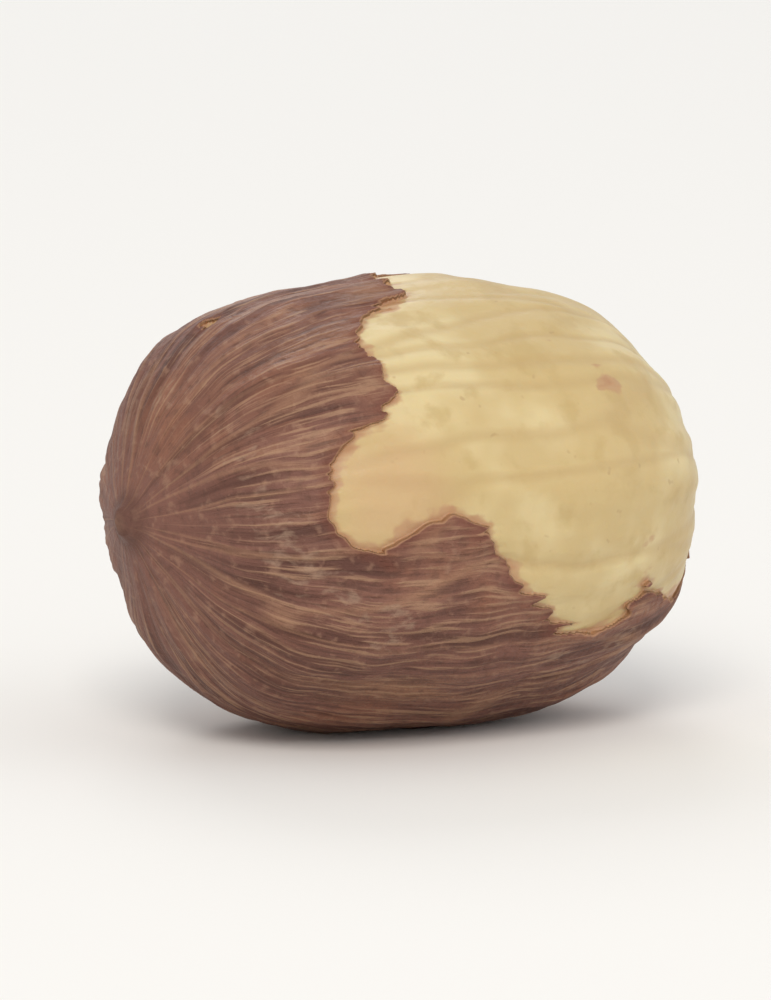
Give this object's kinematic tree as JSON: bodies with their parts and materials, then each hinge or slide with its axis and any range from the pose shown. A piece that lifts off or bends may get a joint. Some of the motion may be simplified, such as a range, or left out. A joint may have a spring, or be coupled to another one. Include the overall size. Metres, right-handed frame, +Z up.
{
  "type": "hazelnut kernel",
  "caption": "Shelled hazelnut kernel, a blunt oval seed with a small root tip, brown papery skin and a patch where the skin has flaked off.",
  "frame": {"origin": "middle of the underside of the bounding box, on the small flat spot the kernel rests on", "axes": "+X along the kernel's long axis towards its broad base, with the tip at -X, +Z up, and -Y towards the side with the bare patch"},
  "size_m": [0.017, 0.0136, 0.0124],
  "materials": {
    "kernel_skin": null
  },
  "bodies": {
    "root": {"kernel": "kernel_skin"}
  },
  "joints": []
}
